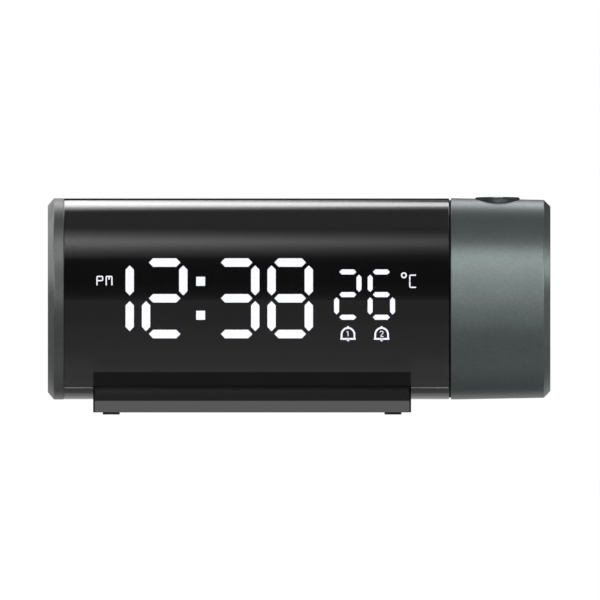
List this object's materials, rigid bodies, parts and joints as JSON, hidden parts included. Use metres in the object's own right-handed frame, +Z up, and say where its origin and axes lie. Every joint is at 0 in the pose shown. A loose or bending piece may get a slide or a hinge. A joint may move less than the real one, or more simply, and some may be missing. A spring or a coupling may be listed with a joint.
{
  "type": "projection alarm clock",
  "caption": "Cylindrical projection alarm clock with a curved display window, a projector head that turns on the end of the drum, rear keys and a low stand.",
  "frame": {"origin": "on the table, under the middle of the clock's length and depth", "axes": "+X along the drum towards the projector head, +Z up, the display faces -Y"},
  "size_m": [0.1802, 0.0722, 0.0771],
  "materials": {
    "window_black": "gloss black smoked acrylic",
    "case_black": "fine satin black moulded plastic",
    "cap_grey": "satin grey metallic paint on moulded plastic",
    "head_green_grey": "satin green-grey metallic paint on moulded plastic",
    "inner_plastic": "plain moulded plastic",
    "display_black": "matt black",
    "lit_diffuser": "milky diffuser, lit white",
    "dark_diffuser": "smoked diffuser, unlit",
    "led_resin": "clear yellow resin",
    "circuit_board": "green solder mask on glass fibre",
    "screw_steel": "zinc-plated steel",
    "black_steel": "blackened steel",
    "chip_black": "moulded epoxy",
    "part_grey": "mixed component bodies",
    "socket_steel": "bare stamped steel",
    "contact_brass": "sprung brass",
    "cell_steel": "polished steel can",
    "ribbon_grey": "grey ribbon insulation",
    "flex_amber": "amber polyimide film",
    "cable_black": "soft black sheath",
    "stand_black": "satin black moulded plastic",
    "foot_rubber": "matt black rubber",
    "washer_nylon": "natural nylon",
    "sink_aluminium": "bare extruded aluminium",
    "lens_clear": "clear polished lens",
    "panel_glass": "dark liquid-crystal panel",
    "key_plastic": "satin dark grey plastic",
    "lid_plastic": "satin black plastic"
  },
  "bodies": {
    "clock": {"front_window": "window_black", "rear_case": "case_black", "left_end_cap": "cap_grey", "left_bulkhead": "inner_plastic", "right_bulkhead": "inner_plastic", "cap_screws": "screw_steel", "case_screws": "black_steel", "display_frame": "display_black", "lit_digits": "lit_diffuser", "unlit_digits": "dark_diffuser", "colon_dots": "lit_diffuser", "display_icons": "lit_diffuser", "display_leds": "led_resin", "display_board": "circuit_board", "display_screws": "screw_steel", "main_board": "circuit_board", "board_screws": "screw_steel", "processor_chip": "chip_black", "board_parts": "part_grey", "tact_switches": "part_grey", "power_socket": "socket_steel", "buzzer": "chip_black", "battery_holder": "inner_plastic", "cell_contact": "contact_brass", "coin_cell": "cell_steel", "display_ribbon": "ribbon_grey", "projector_cable": "cable_black", "stand_cradle": "stand_black", "stand_plate": "stand_black", "plate_screws": "black_steel", "stand_screws": "black_steel", "stand_feet": "foot_rubber"},
    "projector_head": {"head_shell": "head_green_grey", "head_base": "inner_plastic", "head_screws": "screw_steel", "friction_washer": "washer_nylon", "pivot_retainer": "inner_plastic", "retainer_screws": "screw_steel", "optics_tube": "inner_plastic", "optics_screws": "screw_steel", "head_board": "circuit_board", "heat_sink": "sink_aluminium", "lamp_board": "circuit_board", "lamp": "led_resin", "lamp_flex": "flex_amber", "condenser_lens": "lens_clear", "image_panel": "panel_glass"},
    "lens_barrel": {"lens_barrel": "inner_plastic", "projection_lens": "lens_clear"},
    "focus_ring": {"focus_ring": "head_green_grey"},
    "key_snooze": {"key_snooze": "key_plastic"},
    "key_projector": {"key_projector": "key_plastic"},
    "key_set": {"key_set": "key_plastic"},
    "key_up": {"key_up": "key_plastic"},
    "key_down": {"key_down": "key_plastic"},
    "key_alarm_1": {"key_alarm_1": "key_plastic"},
    "key_alarm_2": {"key_alarm_2": "key_plastic"},
    "battery_lid": {"battery_lid": "lid_plastic"}
  },
  "joints": [
    {"name": "head_turn", "type": "hinge", "parent": "clock", "child": "projector_head", "pos_m": [0.0541, 0, 0.0406], "axis": [1, 0, 0], "range_deg": [-90, 90]},
    {"name": "focus_turn", "type": "hinge", "parent": "projector_head", "child": "focus_ring", "pos_m": [0.0711, 0, 0.075], "axis": [0, 0, 1], "range_deg": [-60, 60]},
    {"name": "barrel_focus", "type": "slide", "parent": "projector_head", "child": "lens_barrel", "axis": [0, 0, 1], "range_m": [-0.001, 0.001]},
    {"name": "press_snooze", "type": "slide", "parent": "clock", "child": "key_snooze", "axis": [0, -1, 0], "range_m": [0, 0.0005], "stiffness_N_per_m": 1500},
    {"name": "press_projector", "type": "slide", "parent": "clock", "child": "key_projector", "axis": [0, -1, 0], "range_m": [0, 0.0005], "stiffness_N_per_m": 1500},
    {"name": "press_set", "type": "slide", "parent": "clock", "child": "key_set", "axis": [0, -1, 0], "range_m": [0, 0.0005], "stiffness_N_per_m": 1500},
    {"name": "press_up", "type": "slide", "parent": "clock", "child": "key_up", "axis": [0, -1, 0], "range_m": [0, 0.0005], "stiffness_N_per_m": 1500},
    {"name": "press_down", "type": "slide", "parent": "clock", "child": "key_down", "axis": [0, -1, 0], "range_m": [0, 0.0005], "stiffness_N_per_m": 1500},
    {"name": "press_alarm_1", "type": "slide", "parent": "clock", "child": "key_alarm_1", "axis": [0, -1, 0], "range_m": [0, 0.0005], "stiffness_N_per_m": 1500},
    {"name": "press_alarm_2", "type": "slide", "parent": "clock", "child": "key_alarm_2", "axis": [0, -1, 0], "range_m": [0, 0.0005], "stiffness_N_per_m": 1500},
    {"name": "lid_turn", "type": "hinge", "parent": "clock", "child": "battery_lid", "pos_m": [0.02395, 0.028, 0.0406], "axis": [0, 1, 0], "range_deg": [0, 60]}
  ],
  "couplings": [
    {"joint": "focus_turn", "follows": "barrel_focus", "rad_per_m": 1047}
  ]
}
